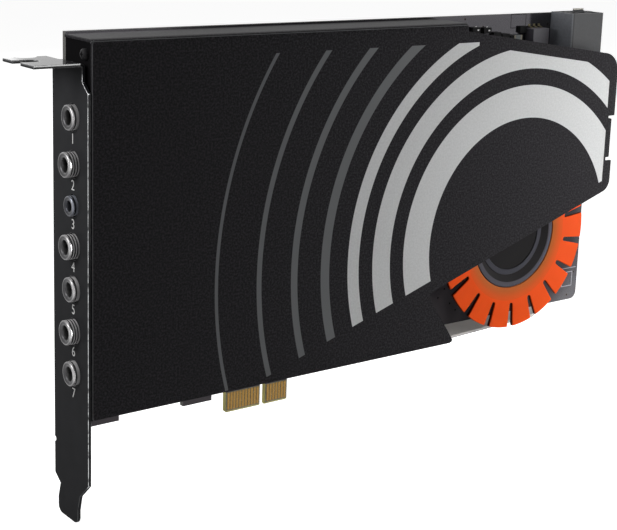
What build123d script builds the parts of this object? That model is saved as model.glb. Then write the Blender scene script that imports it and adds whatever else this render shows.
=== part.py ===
from build123d import *
import os

# Sound card for a one-lane expansion slot: slotted bracket with seven audio sockets, circuit board
# with gold edge contacts, folded sheet cover, and a round slotted light disc on a hub.
# Origin: centre of the pad under the bracket's tab, which seats on the computer's case.
# X runs along the card away from the bracket, Y from the covered side to the solder side, Z up.
# All sizes are in millimetres.

# Bracket sheet
bracket_height = 120.02
bracket_width = 18.42
bracket_sheet = 0.86
bracket_bend = 1.4
tab_reach = 12.0
tab_tip = 0.8
pad_width = 7.0
screw_slot_width = 4.42
screw_slot_depth = 5.0
tab_overhang = 1.2
scallop_radius = 2.9
scallop_setback = 6.6
scallop_overhang = 0.7
neck_setback = 2.8
neck_width = 9.8
neck_drop = 3.8
neck_slope = 2.4
relief_drop = 1.2
relief_inset = 1.0
tongue_width = 10.8
tongue_offset = 3.0
tongue_length = 7.6
tongue_jog = 0.6
tongue_ramp = 3.6
tongue_corner = 2.0
foot_slope_back = 2.1
foot_slope_front = 4.4
edge_notch_radius = 0.7
edge_notch_height = 19.1
ear_length = 12.0
ear_height = 8.0
ear_lift = 1.0
ear_top_gap = 0.2

# Circuit board
board_length = 191.1
board_thickness = 1.57
board_gap = 0.64
board_rise = 7.35
component_room = 14.1
board_corner = 2.5
contact_edge_drop = 102.16
contact_edge_height = 8.25
contact_edge_start = 51.15
contact_pitch = 1.0
contact_width = 0.7
contact_length = 5.0
contact_plating = 0.1
contact_lift = 0.45
first_group = 11
second_group = 7
contact_margin = 0.825
key_width = 1.9
contact_bevel = 0.5
contact_bevel_depth = 0.3
heel_length = 15.3
heel_drop = 3.35
rest_tab_start = 36.9
rest_tab_length = 9.4
raised_edge_start = 121.0
raised_edge = 4.65

# Folded cover
cover_length = 187.6
cover_depth = 14.4
cover_sheet = 0.8
cover_bend = 1.1
cover_gap = 0.24
cover_rise = 6.84
cover_fall = 90.1
cover_board_gap = 0.2
shoulder_length = 122.2
shoulder_step = 2.3
nose_top_fall = 5.2
nose_top_radius = 6.5
nose_bottom_fall = 48.2
nose_bottom_radius = 4.0
throat_length = 111.4
throat_fall = 72.8
throat_radius = 1.8
toe_length = 123.5
toe_radius = 1.2
ledge_length = 164.0
ledge_overlap = 12.0
ledge_setback = 3.7
ledge_end_setback = 7.6
end_lug_height = 12.5
end_lug_inset = 0.4
low_lug_height = 4.2
lug_hole_radius = 1.1
lug_hole_setback = 3.9
lug_hole_fall = 3.9
side_tab_height = 12.2
side_tab_fall = 31.8
side_tab_relief = 1.2
foot_width = 8.0
foot_height = 7.8
top_feet_at = (12.0, 112.0)
low_feet_at = (30.0, 104.0)

# Audio sockets, as drops below the tab and how far each sleeve stands out of the bracket
socket_drops = (12.96, 24.66, 35.16, 45.56, 56.66, 67.76, 78.86)
socket_reach = (1.6, 2.6, 1.4, 2.6, 1.6, 2.6, 1.6)
small_socket = 2
socket_height = 6.35
sleeve_radius = 3.2
sleeve_bore = 1.8
small_sleeve_radius = 2.6
small_sleeve_bore = 1.3
sleeve_depth = 8.0
sleeve_clearance = 0.25
sleeve_seat = 0.05
housing_length = 16.0
housing_width = 9.6
housing_top = 4.9
housing_gap = 0.14
housing_wall = 1.0
spring_thickness = 0.3
spring_width = 1.6
spring_clearance = 0.25

# Light disc and its hub
disc_x = 148.1
disc_drop = 59.5
disc_radius = 29.5
disc_thickness = 1.2
disc_setback = 1.5
disc_dish_radius = 20.8
disc_dish = 0.5
slot_count = 18
slot_start = 22.2
slot_inner_width = 1.3
slot_nose = 0.4
slot_nose_width = 0.6
slot_outer_width = 2.5
hub_radius = 16.6
hub_clearance = 0.2
hub_shoulder = 1.8
hub_ring = 1.4
hub_cone = 2.4
hub_cone_depth = 1.4

# Power inlet, open upwards at the board's top edge
power_width = 14.0
power_depth = 9.6
power_height = 12.8
power_setback = 6.8
power_rise = 0.4
power_corner = 0.6
cell_pitch = 4.2
cell_width = 3.4
cell_depth = 9.0
cell_columns = 3
cell_rows = 2
key_rise = 1.2
key_thickness = 0.7
power_pin = 1.0
power_pin_rise = 6.5
tail_step = 1.6
pin_clearance = 0.05

# Board parts, placed by distance from the bracket's face and drop below the board's top edge
mould_taper = 6
processor_size = (14.0, 14.0, 1.4)
processor_at = (78.0, 52.0)
bridge_size = (9.0, 9.0, 1.2)
bridge_at = (62.0, 84.0)
converter_size = (10.2, 5.3, 1.8)
playback_at = (52.0, 30.0)
record_at = (52.0, 62.0)
amplifier_size = (6.4, 6.4, 1.6)
amplifier_at = (40.0, 20.0)
op_amp_size = (3.9, 4.9, 1.6)
op_amp_count = 4
op_amp_column = 38.0
op_amp_first = 34.0
op_amp_pitch = 13.0
oscillator_size = (7.0, 5.0, 1.8)
oscillators_at = [(66.0, 38.0), (90.0, 66.0)]
relay_size = (7.0, 8.4, 3.5)
relay_taper = 1
relay_count = 3
relay_column = 25.0
relay_first = 26.0
relay_pitch = 20.0
capacitor_radius = 4.0
capacitor_height = 8.6
capacitor_base = 8.3
capacitor_base_height = 1.0
capacitor_base_cut = 1.6
capacitors_at = [(104.0, 22.0), (104.0, 34.0)]
film_size = (4.0, 7.2, 6.0)
film_count = 4
film_column = 92.0
film_first = 18.0
film_pitch = 9.5
coil_size = (7.0, 7.0, 3.4)
coil_corner = 1.2
coils_at = [(126.0, 28.0), (138.0, 28.0)]
passive_size = (2.0, 1.2, 0.7)
passive_columns = 4
passive_rows = 4
passive_pitch = (4.0, 3.0)
passives_at = (84.0, 84.0)

# Board parts that keep their distance from the board's far end, with the same drop
power_relay_at = (28.2, 8.6)
regulator_size = (6.5, 6.1, 2.3)
regulator_tab = (5.2, 1.4, 0.6)
regulators_at = [(26.6, 26.0), (12.6, 26.0)]
transistor_size = (2.8, 2.2, 1.0)
transistor_at = (33.7, 4.8)
ceramic_size = (3.4, 1.8, 1.3)
ceramic_at = (36.0, 7.3)

# Places shared by the pieces
bracket_face = tab_reach / 2
tab_end = -tab_reach / 2 - tab_tip
bracket_inside = bracket_face + bracket_sheet
bracket_front = -pad_width / 2 - neck_setback
bracket_back = bracket_front + bracket_width
bracket_foot = bracket_sheet - bracket_height
tab_back = bracket_back + tab_overhang
neck_front = -pad_width / 2
neck_back = neck_front + neck_width
tongue_back = bracket_back - tongue_offset
tongue_front = tongue_back - tongue_width
tongue_top = bracket_foot + tongue_length
board_left = bracket_inside + board_gap
board_right = board_left + board_length
board_front = bracket_front + component_room
board_back = board_front + board_thickness
board_top = board_rise
contact_edge = -contact_edge_drop
board_bottom = contact_edge + contact_edge_height
heel_bottom = board_bottom - heel_drop
raised_bottom = board_bottom + raised_edge
edge_left = bracket_face + contact_edge_start
first_span = (first_group - 1) * contact_pitch + 2 * contact_margin
second_span = (second_group - 1) * contact_pitch + 2 * contact_margin
key_left = edge_left + first_span
key_right = key_left + key_width
edge_right = key_right + second_span
cover_left = bracket_inside + cover_gap
cover_right = cover_left + cover_length
cover_front = board_front - cover_depth
cover_inside = cover_front + cover_sheet
cover_back = board_front - cover_board_gap
cover_top = cover_rise
cover_bottom = -cover_fall
cover_outer_bend = cover_bend + cover_sheet
socket_y = board_front - socket_height
socket_places = [(socket_y, -drop) for drop in socket_drops]
disc_centre = (cover_left + disc_x, -disc_drop)
disc_front = cover_front + disc_setback
disc_back = disc_front + disc_thickness
hub_front = disc_front + disc_dish
ear_places = (heel_bottom + ear_lift, -relief_drop - ear_top_gap - ear_height)
top_feet = [(cover_left + at, cover_top - foot_height / 2) for at in top_feet_at]
low_feet = [(cover_left + at, cover_bottom + foot_height / 2) for at in low_feet_at]
power_top = board_top + power_rise


# A plane that faces the covered side, whose own x and y run along X and Z
def facing(y):
    return Plane((0, y, 0), x_dir=(1, 0, 0), z_dir=(0, -1, 0))


# Sheet bracket: tab, face and tongue folded from one strip, then trimmed to its outline
with BuildPart() as bracket:
    with BuildSketch(facing(tab_back)) as strip:
        with BuildLine():
            Polyline(
                (tab_end, 0),
                (bracket_face, 0),
                (bracket_face, tongue_top),
                (bracket_face - tongue_jog, tongue_top - tongue_ramp),
                (bracket_face - tongue_jog, bracket_foot),
                (bracket_inside - tongue_jog, bracket_foot),
                (bracket_inside - tongue_jog, tongue_top - tongue_ramp),
                (bracket_inside, tongue_top),
                (bracket_inside, bracket_sheet),
                (tab_end, bracket_sheet),
                close=True,
            )
        make_face()
    extrude(amount=tab_back - bracket_front)
    top_edges = bracket.edges().filter_by(Axis.Y).group_by(Axis.Z)[-1]
    fillet(top_edges.sort_by(Axis.X)[-1], bracket_bend)
    with BuildSketch(Plane.YZ) as face_outline:
        with BuildLine():
            Polyline(
                (tab_back, 2 * bracket_sheet),
                (tab_back, -relief_drop / 2),
                (bracket_back, -relief_drop / 2),
                (bracket_back, tongue_top + foot_slope_back),
                (tongue_back, tongue_top),
                (tongue_back, bracket_foot),
                (tongue_front, bracket_foot),
                (tongue_front, tongue_top),
                (bracket_front, tongue_top + foot_slope_front),
                (bracket_front, -neck_drop - neck_slope),
                (neck_front, -neck_drop),
                (neck_front, 2 * bracket_sheet),
                close=True,
            )
        make_face()
        fillet(face_outline.vertices().group_by(Axis.Y)[0], tongue_corner)
    extrude(amount=bracket_height, both=True, mode=Mode.INTERSECT)
    with BuildSketch(Plane.XY.offset(-relief_drop)):
        with Locations((bracket_inside, (neck_back + tab_back) / 2)):
            Rectangle(2 * (bracket_sheet + relief_inset), tab_back - neck_back)
    extrude(amount=relief_drop + 2 * bracket_sheet, mode=Mode.SUBTRACT)
    with BuildSketch(Plane.XY.offset(-bracket_sheet)):
        with Locations((-tab_reach / 2, (pad_width + screw_slot_width) / 2)):
            SlotCenterToCenter(2 * (screw_slot_depth - screw_slot_width / 2), screw_slot_width)
        with Locations((bracket_face - scallop_setback, tab_back + scallop_overhang)):
            Circle(scallop_radius)
    extrude(amount=3 * bracket_sheet, mode=Mode.SUBTRACT)
    with BuildSketch(Plane.YZ.offset(bracket_face)):
        for number, place in enumerate(socket_places):
            sleeve = small_sleeve_radius if number == small_socket else sleeve_radius
            with Locations(place):
                Circle(sleeve + sleeve_clearance)
        with Locations((bracket_back, bracket_foot + edge_notch_height)):
            Circle(edge_notch_radius)
    extrude(amount=bracket_sheet, mode=Mode.SUBTRACT)
    for ear_bottom in ear_places:
        with BuildSketch(Plane.XY.offset(ear_bottom)):
            with BuildLine():
                Polyline(
                    (bracket_face, bracket_back),
                    (bracket_face, bracket_back - bracket_sheet),
                    (bracket_inside, bracket_back - bracket_sheet),
                    (board_left, board_back),
                    (board_left + ear_length, board_back),
                    (board_left + ear_length, board_back + bracket_sheet),
                    (board_left + bracket_sheet / 2, board_back + bracket_sheet),
                    (bracket_inside, bracket_back),
                    close=True,
                )
            make_face()
        extrude(amount=ear_height)
bracket.part.label = "bracket"

# Circuit board: one outline with the heel behind the sockets, the rest tab and the keyed contact edge
with BuildPart() as board:
    with BuildSketch(facing(board_back)) as outline:
        with BuildLine():
            Polyline(
                (board_left, board_top),
                (board_left, heel_bottom),
                (board_left + heel_length, heel_bottom),
                (board_left + heel_length, board_bottom),
                (bracket_face + raised_edge_start, board_bottom),
                (bracket_face + raised_edge_start + raised_edge, raised_bottom),
                (board_right, raised_bottom),
                (board_right, board_top),
                close=True,
            )
        make_face()
        fillet(outline.vertices().group_by(Axis.X)[-1], board_corner)
        rest_centre = bracket_face + rest_tab_start + rest_tab_length / 2
        with Locations((rest_centre, board_bottom)):
            Rectangle(rest_tab_length, 2 * heel_drop)
        with Locations(((edge_left + edge_right) / 2, board_bottom)):
            Rectangle(edge_right - edge_left, 2 * contact_edge_height)
        chamfer(outline.vertices().group_by(Axis.Y)[0], contact_bevel)
        with Locations(((key_left + key_right) / 2, contact_edge)):
            SlotOverall(2 * contact_edge_height, key_width, rotation=90, mode=Mode.SUBTRACT)
    extrude(amount=board_thickness)
    lower_edges = board.edges().filter_by(Axis.X).group_by(Axis.Z)[0]
    chamfer(lower_edges, contact_bevel, contact_bevel_depth)
board.part.label = "circuit_board"


# Gold contacts on one face of the contact edge, as plating that stands on the board
def contact_row(plane):
    contact_z = contact_edge + contact_bevel + contact_lift + contact_length / 2
    first_x = edge_left + contact_margin + (first_group - 1) * contact_pitch / 2
    second_x = key_right + contact_margin + (second_group - 1) * contact_pitch / 2
    with BuildPart() as row:
        with BuildSketch(plane):
            with Locations((first_x, contact_z)):
                with GridLocations(contact_pitch, contact_length, first_group, 1):
                    Rectangle(contact_width, contact_length)
            with Locations((second_x, contact_z)):
                with GridLocations(contact_pitch, contact_length, second_group, 1):
                    Rectangle(contact_width, contact_length)
        extrude(amount=contact_plating)
    return row.part


front_contacts = contact_row(facing(board_front))
front_contacts.label = "front_contacts"
back_contacts = contact_row(facing(board_back + contact_plating))
back_contacts.label = "back_contacts"

# Folded cover: a channel cut to the stepped outline, with a ledge, end lugs, a side tab and screw feet
with BuildPart() as cover:
    channel_depth = cover_back - cover_front + cover_outer_bend
    channel_middle = (cover_top + cover_bottom) / 2
    with BuildSketch(Plane.YZ.offset(cover_left)) as channel:
        with Locations((cover_front + channel_depth / 2, channel_middle)):
            Rectangle(channel_depth, cover_top - cover_bottom)
        fillet(channel.vertices().group_by(Axis.X)[0], cover_outer_bend)
        offset(amount=-cover_sheet, mode=Mode.SUBTRACT)
        with Locations((cover_back + channel_depth / 2, channel_middle)):
            Rectangle(channel_depth, cover_top - cover_bottom, mode=Mode.SUBTRACT)
    extrude(amount=cover_length)
    shoulder = (cover_left + shoulder_length, cover_top - shoulder_step)
    nose_top = (cover_right, -nose_top_fall)
    nose_bottom = (cover_right, -nose_bottom_fall)
    throat = (cover_left + throat_length, -throat_fall)
    toe = (cover_left + toe_length, cover_bottom)
    with BuildSketch(facing(cover_back)) as plate:
        with BuildLine():
            Polyline(
                (cover_left, cover_top),
                (shoulder[0], cover_top),
                shoulder,
                nose_top,
                nose_bottom,
                throat,
                toe,
                (cover_left, cover_bottom),
                close=True,
            )
        make_face()
        fillet(plate.vertices().sort_by_distance(nose_top)[0], nose_top_radius)
        fillet(plate.vertices().sort_by_distance(nose_bottom)[0], nose_bottom_radius)
        fillet(plate.vertices().sort_by_distance(throat)[0], throat_radius)
        fillet(plate.vertices().sort_by_distance(toe)[0], toe_radius)
    extrude(amount=cover_back - cover_front, mode=Mode.INTERSECT)
    ledge_start = cover_left + toe_length - ledge_overlap
    ledge_end = cover_left + ledge_length
    ledge_tip = (ledge_end, cover_front + ledge_end_setback)
    with BuildSketch(Plane.XY.offset(cover_bottom)) as ledge:
        with BuildLine():
            Polyline(
                (ledge_start, cover_back),
                (ledge_start, cover_front + ledge_setback),
                ledge_tip,
                (ledge_end, cover_back),
                close=True,
            )
        make_face()
        chamfer(ledge.vertices().sort_by_distance(ledge_tip)[0], cover_outer_bend)
    extrude(amount=cover_sheet)
    end_middle = (cover_inside + cover_back) / 2
    with BuildSketch(Plane.YZ.offset(cover_left + end_lug_inset)):
        with Locations((end_middle, cover_top - cover_sheet / 2 - end_lug_height / 2)):
            Rectangle(cover_back - cover_inside, end_lug_height)
        with Locations((end_middle, cover_bottom + cover_sheet / 2 + low_lug_height / 2)):
            Rectangle(cover_back - cover_inside, low_lug_height)
        with Locations((cover_front + lug_hole_setback, cover_top - lug_hole_fall)):
            Circle(lug_hole_radius, mode=Mode.SUBTRACT)
    extrude(amount=cover_sheet)
    fold_room = cover_outer_bend + cover_sheet
    with BuildSketch(facing(cover_inside)):
        with Locations((cover_right, -side_tab_fall)):
            Rectangle(2 * fold_room, side_tab_height + 2 * side_tab_relief)
    extrude(amount=cover_sheet, mode=Mode.SUBTRACT)
    with BuildSketch(Plane.XY.offset(-side_tab_fall - side_tab_height / 2)) as side_tab:
        with BuildLine():
            Polyline(
                (cover_right - fold_room - cover_sheet, cover_front),
                (cover_right, cover_front),
                (cover_right, cover_back),
                (cover_right - cover_sheet, cover_back),
                (cover_right - cover_sheet, cover_inside),
                (cover_right - fold_room - cover_sheet, cover_inside),
                close=True,
            )
        make_face()
        outer_fold = (cover_right, cover_front)
        inner_fold = (cover_right - cover_sheet, cover_inside)
        fillet(side_tab.vertices().sort_by_distance(outer_fold)[0], cover_outer_bend)
        fillet(side_tab.vertices().sort_by_distance(inner_fold)[0], cover_bend)
    extrude(amount=side_tab_height)
    with BuildSketch(facing(board_front)):
        with Locations(*top_feet, *low_feet):
            Rectangle(foot_width, foot_height)
    extrude(amount=cover_sheet)
cover.part.label = "cover"


# Audio socket: a housing moulded as a channel over a turned metal sleeve that passes the bracket
housing_front = bracket_inside + housing_gap
cavity_front = housing_front + sleeve_depth
cavity_length = housing_length - sleeve_depth - housing_wall


def socket_housing(place, sleeve):
    with BuildPart() as housing:
        with BuildSketch(Plane.YZ.offset(housing_front)) as end:
            with Locations(((place[0] - housing_top + board_front) / 2, place[1])):
                Rectangle(board_front - place[0] + housing_top, housing_width)
            chamfer(end.vertices().group_by(Axis.X)[0], housing_wall)
        extrude(amount=housing_length)
        channel_half = sleeve + sleeve_seat
        with BuildSketch(facing(board_front)):
            with Locations((housing_front + sleeve_depth / 2, place[1])):
                Rectangle(sleeve_depth, 2 * channel_half)
            with Locations((cavity_front + cavity_length / 2, place[1])):
                Rectangle(cavity_length, housing_width - 2 * housing_wall)
        extrude(amount=board_front - place[0] + channel_half, mode=Mode.SUBTRACT)
    return housing.part


def socket_sleeve(place, sleeve, bore, reach):
    with BuildPart() as tube:
        with BuildSketch(Plane.YZ.offset(bracket_face - reach)):
            with Locations(place):
                Circle(sleeve)
                Circle(bore, mode=Mode.SUBTRACT)
        extrude(amount=cavity_front - bracket_face + reach)
    return tube.part


sockets = []
for number, place in enumerate(socket_places):
    small = number == small_socket
    sleeve = small_sleeve_radius if small else sleeve_radius
    bore = small_sleeve_bore if small else sleeve_bore
    housing = socket_housing(place, sleeve)
    housing.label = f"socket_housing_{number + 1}"
    tube = socket_sleeve(place, sleeve, bore, socket_reach[number])
    tube.label = f"socket_sleeve_{number + 1}"
    sockets += [housing, tube]

# Contact springs: two leaves beside the plug's path in each socket, standing on the board
with BuildPart() as springs:
    for number, place in enumerate(socket_places):
        bore = small_sleeve_bore if number == small_socket else sleeve_bore
        for side in (-1, 1):
            inner = place[1] + side * (bore + spring_clearance)
            outer = inner + side * spring_thickness
            with BuildSketch(Plane.YZ.offset(cavity_front + cavity_length / 2 - spring_width / 2)):
                with BuildLine():
                    Polyline(
                        (board_front, outer),
                        (place[0], inner),
                        (place[0] - bore, outer),
                        (place[0] - bore, outer + side * spring_thickness),
                        (place[0], outer),
                        (board_front, outer + side * spring_thickness),
                        close=True,
                    )
                make_face()
            extrude(amount=spring_width)
springs.part.label = "socket_springs"

# Light disc: a dished ring cut by tapered slots that run out through its rim
disc_plane = Plane((disc_centre[0], 0, disc_centre[1]), x_dir=(1, 0, 0), z_dir=(0, 0, 1))
disc_axis = Axis((disc_centre[0], 0, disc_centre[1]), (0, 1, 0))
disc_bore = hub_radius + hub_clearance
first_slot = 180 / slot_count
slot_end = disc_radius + slot_outer_width / 2
with BuildPart() as disc:
    with BuildSketch(disc_plane):
        with BuildLine():
            Polyline(
                (disc_bore, disc_back),
                (disc_bore, disc_front + disc_dish),
                (disc_dish_radius, disc_front),
                (disc_radius, disc_front),
                (disc_radius, disc_back),
                close=True,
            )
        make_face()
    revolve(axis=disc_axis)
    with BuildSketch(facing(disc_back)):
        with Locations(disc_centre):
            with PolarLocations(0, slot_count, start_angle=first_slot):
                Polygon(
                    (slot_start - slot_nose, -slot_nose_width / 2),
                    (slot_start, -slot_inner_width / 2),
                    (slot_end, -slot_outer_width / 2),
                    (slot_end, slot_outer_width / 2),
                    (slot_start, slot_inner_width / 2),
                    (slot_start - slot_nose, slot_nose_width / 2),
                    align=None,
                )
    extrude(amount=disc_thickness, mode=Mode.SUBTRACT)
disc.part.label = "light_disc"

# Hub: a drum on the board with a shoulder that carries the disc, and a rim around a sunk face
ring_inside = hub_radius - hub_ring
cone_inside = ring_inside - hub_cone
with BuildPart() as hub:
    with BuildSketch(disc_plane):
        with BuildLine():
            Polyline(
                (0, board_front),
                (hub_radius + hub_shoulder, board_front),
                (hub_radius + hub_shoulder, disc_back),
                (hub_radius, disc_back),
                (hub_radius, hub_front),
                (ring_inside, hub_front),
                (cone_inside, hub_front + hub_cone_depth),
                (0, hub_front + hub_cone_depth),
                close=True,
            )
        make_face()
    revolve(axis=disc_axis)
hub.part.label = "disc_hub"

# Power inlet: a block with six cells, a raised key on the wall between the rows, and its pins
power_x = board_right - power_setback - power_width / 2
power_y = board_front - power_depth / 2
power_floor = power_top - power_height
with BuildPart() as power_block:
    with BuildSketch(Plane.XY.offset(power_floor)) as block:
        with Locations((power_x, power_y)):
            Rectangle(power_width, power_depth)
        chamfer(block.vertices().group_by(Axis.Y)[0], power_corner)
    extrude(amount=power_height)
    with BuildSketch(Plane.XY.offset(power_top)):
        with Locations((power_x, power_y)):
            with GridLocations(cell_pitch, cell_pitch, cell_columns, cell_rows):
                Rectangle(cell_width, cell_width)
    extrude(amount=-cell_depth, mode=Mode.SUBTRACT)
    with BuildSketch(Plane.XY.offset(power_floor)):
        with Locations((power_x, power_y)):
            with GridLocations(cell_pitch, cell_pitch, cell_columns, cell_rows):
                Rectangle(power_pin + 2 * pin_clearance, power_pin + 2 * pin_clearance)
    extrude(amount=power_height - cell_depth, mode=Mode.SUBTRACT)
    with BuildSketch(Plane.XY.offset(power_top)):
        with Locations((power_x, power_y)):
            Rectangle(cell_pitch, key_thickness)
    extrude(amount=key_rise)
power_block.part.label = "power_inlet"

# Right-angle pins: each rises into its cell, drops out of the floor and turns back to the board
power_tip = power_top - cell_depth + power_pin_rise
half_pin = power_pin / 2
with BuildPart() as power_pins:
    for row in range(cell_rows):
        y = power_y + (row - (cell_rows - 1) / 2) * cell_pitch
        turn = power_floor - tail_step * (cell_rows - row)
        for column in range(cell_columns):
            x = power_x + (column - (cell_columns - 1) / 2) * cell_pitch
            with BuildSketch(Plane.YZ.offset(x - half_pin)):
                with BuildLine():
                    Polyline(
                        (y - half_pin, power_tip),
                        (y - half_pin, turn - power_pin),
                        (board_front, turn - power_pin),
                        (board_front, turn),
                        (y + half_pin, turn),
                        (y + half_pin, power_tip),
                        close=True,
                    )
                make_face()
            extrude(amount=power_pin)
power_pins.part.label = "power_pins"


# A place on the board from its distance along the card and its drop below the top edge
def on_board(place):
    return (bracket_face + place[0], board_top - place[1])


# The same for a part placed by its distance from the board's far end
def from_end(place):
    return (board_right - bracket_face - place[0], place[1])


# Moulded package with tapered sides, standing on the board
def moulded(label, place, size, taper=mould_taper):
    with BuildPart() as package:
        with BuildSketch(facing(board_front)):
            with Locations(on_board(place)):
                Rectangle(size[0], size[1])
        extrude(amount=size[2], taper=taper)
    package.part.label = label
    return package.part


board_parts = [
    moulded("audio_processor", processor_at, processor_size),
    moulded("bus_bridge", bridge_at, bridge_size),
    moulded("playback_converter", playback_at, converter_size),
    moulded("record_converter", record_at, converter_size),
    moulded("headphone_amplifier", amplifier_at, amplifier_size),
]
for number in range(op_amp_count):
    place = (op_amp_column, op_amp_first + number * op_amp_pitch)
    board_parts.append(moulded(f"op_amp_{number + 1}", place, op_amp_size))
for number, place in enumerate(oscillators_at, start=1):
    board_parts.append(moulded(f"oscillator_{number}", place, oscillator_size, 0))
for number in range(relay_count):
    place = (relay_column, relay_first + number * relay_pitch)
    board_parts.append(moulded(f"relay_{number + 1}", place, relay_size, relay_taper))
for number in range(film_count):
    place = (film_column, film_first + number * film_pitch)
    board_parts.append(moulded(f"film_capacitor_{number + 1}", place, film_size, 0))
board_parts += [
    moulded("power_relay", from_end(power_relay_at), relay_size, relay_taper),
    moulded("transistor", from_end(transistor_at), transistor_size),
    moulded("ceramic_capacitor", from_end(ceramic_at), ceramic_size, 0),
]

# Capacitors: a can on a square base with two cut corners
for number, place in enumerate(capacitors_at, start=1):
    with BuildPart() as can:
        with BuildSketch(facing(board_front)) as base:
            with Locations(on_board(place)):
                Rectangle(capacitor_base, capacitor_base)
            chamfer(base.vertices().group_by(Axis.Y)[0], capacitor_base_cut)
        extrude(amount=capacitor_base_height)
        with BuildSketch(facing(board_front - capacitor_base_height)):
            with Locations(on_board(place)):
                Circle(capacitor_radius)
        extrude(amount=capacitor_height)
    can.part.label = f"capacitor_{number}"
    board_parts.append(can.part)

# Coils in square moulded cases, and regulators with their soldered tabs
for number, place in enumerate(coils_at, start=1):
    with BuildPart() as coil:
        with BuildSketch(facing(board_front)) as case:
            with Locations(on_board(place)):
                Rectangle(coil_size[0], coil_size[1])
            chamfer(case.vertices(), coil_corner)
        extrude(amount=coil_size[2])
    coil.part.label = f"coil_{number}"
    board_parts.append(coil.part)
for number, place in enumerate(map(from_end, regulators_at), start=1):
    with BuildPart() as regulator:
        with BuildSketch(facing(board_front)):
            with Locations(on_board(place)):
                Rectangle(regulator_size[0], regulator_size[1])
        extrude(amount=regulator_size[2])
        with BuildSketch(facing(board_front)):
            tab_drop = place[1] - (regulator_size[1] + regulator_tab[1]) / 2
            with Locations(on_board((place[0], tab_drop))):
                Rectangle(regulator_tab[0], regulator_tab[1])
        extrude(amount=regulator_tab[2])
    regulator.part.label = f"regulator_{number}"
    board_parts.append(regulator.part)

# Small resistors and ceramic capacitors beside the processor
with BuildPart() as passives:
    with BuildSketch(facing(board_front)):
        with Locations(on_board(passives_at)):
            with GridLocations(*passive_pitch, passive_columns, passive_rows):
                Rectangle(passive_size[0], passive_size[1])
    extrude(amount=passive_size[2])
passives.part.label = "chip_passives"


os.makedirs("parts", exist_ok=True)
pieces = [bracket.part, board.part, front_contacts, back_contacts, cover.part]
pieces += sockets + [springs.part, disc.part, hub.part]
pieces += [power_block.part, power_pins.part]
pieces += board_parts + [passives.part]
for piece in pieces:
    export_step(piece, "parts/" + piece.label + ".step")
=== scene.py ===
"""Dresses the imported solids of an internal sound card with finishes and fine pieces, and sets its stage."""

import math

import bmesh
import bpy
from mathutils import Matrix, Vector


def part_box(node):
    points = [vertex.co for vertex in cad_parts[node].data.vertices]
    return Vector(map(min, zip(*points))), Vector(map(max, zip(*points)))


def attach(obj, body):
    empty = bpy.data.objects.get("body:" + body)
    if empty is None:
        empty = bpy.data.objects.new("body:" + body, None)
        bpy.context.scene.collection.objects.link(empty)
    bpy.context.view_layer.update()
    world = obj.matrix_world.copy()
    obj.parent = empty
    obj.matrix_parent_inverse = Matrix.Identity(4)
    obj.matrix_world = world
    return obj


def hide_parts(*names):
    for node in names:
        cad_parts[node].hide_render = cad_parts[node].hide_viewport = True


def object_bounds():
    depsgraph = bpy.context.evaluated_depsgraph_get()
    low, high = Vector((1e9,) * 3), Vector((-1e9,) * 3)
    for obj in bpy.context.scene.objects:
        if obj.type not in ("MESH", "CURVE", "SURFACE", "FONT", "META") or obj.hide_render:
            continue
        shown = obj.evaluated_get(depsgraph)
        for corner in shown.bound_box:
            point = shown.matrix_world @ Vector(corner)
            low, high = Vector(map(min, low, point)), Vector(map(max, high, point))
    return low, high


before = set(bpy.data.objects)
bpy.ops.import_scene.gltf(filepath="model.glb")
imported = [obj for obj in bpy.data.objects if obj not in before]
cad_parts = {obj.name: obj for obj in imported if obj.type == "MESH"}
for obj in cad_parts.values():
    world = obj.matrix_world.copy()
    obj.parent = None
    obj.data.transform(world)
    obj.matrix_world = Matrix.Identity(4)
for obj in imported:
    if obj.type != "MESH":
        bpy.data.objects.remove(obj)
cad_box = [list(corner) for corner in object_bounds()]

bl_info = {
    "name": "Sound Card Looks",
    "version": (1, 0, 0),
    "blender": (4, 5, 0),
    "location": "View3D > Sidebar > Sound Card",
    "description": "Finishes, fine pieces and a stage for an internal sound card",
    "category": "Object",
}

# Shapes and painted fields are worked in millimetres and brought to metres when a piece is made.
MM = 0.001

# Directions: along the card from the bracket, from the cover to the solder side, and up.
RIGHT, BACK, UP = Vector((1, 0, 0)), Vector((0, 1, 0)), Vector((0, 0, 1))


def box_mm(node):
    """The lowest and highest corner of a CAD node, in millimetres."""
    low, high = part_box(node)
    return low / MM, high / MM


def numbered(name, count):
    return [f"{name}_{number}" for number in range(1, count + 1)]


cover_low, cover_high = box_mm("cover")
bracket_low = box_mm("bracket")[0]
board_low, board_high = box_mm("circuit_board")
disc_low, disc_high = box_mm("light_disc")
disc_centre = (disc_low + disc_high) / 2
disc_middle = (disc_centre.x, disc_centre.z)

# The sockets' housings stand this far behind the bracket's outer face.
housing_setback = 1.0
bracket_face = box_mm("socket_housing_1")[0].x - housing_setback

# Corners of the cover's plate, as (along the card, up), and a height that only its ledge lies below.
shoulder = (129.3, cover_high.z - 2.3)
nose_top = (cover_high.x, cover_high.z - 12.04)
nose_bottom = (cover_high.x, cover_high.z - 55.04)
throat = (118.5, cover_high.z - 79.64)
ledge_top = cover_low.z + 1.0

# Painted arcs round the light disc, as inner and outer radius.
silver_arcs = ((37.0, 47.0), (52.0, 58.5), (63.5, 67.5))
grey_arcs = ((74.0, 77.0), (85.0, 87.2), (97.0, 98.6), (111.0, 112.0))


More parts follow.
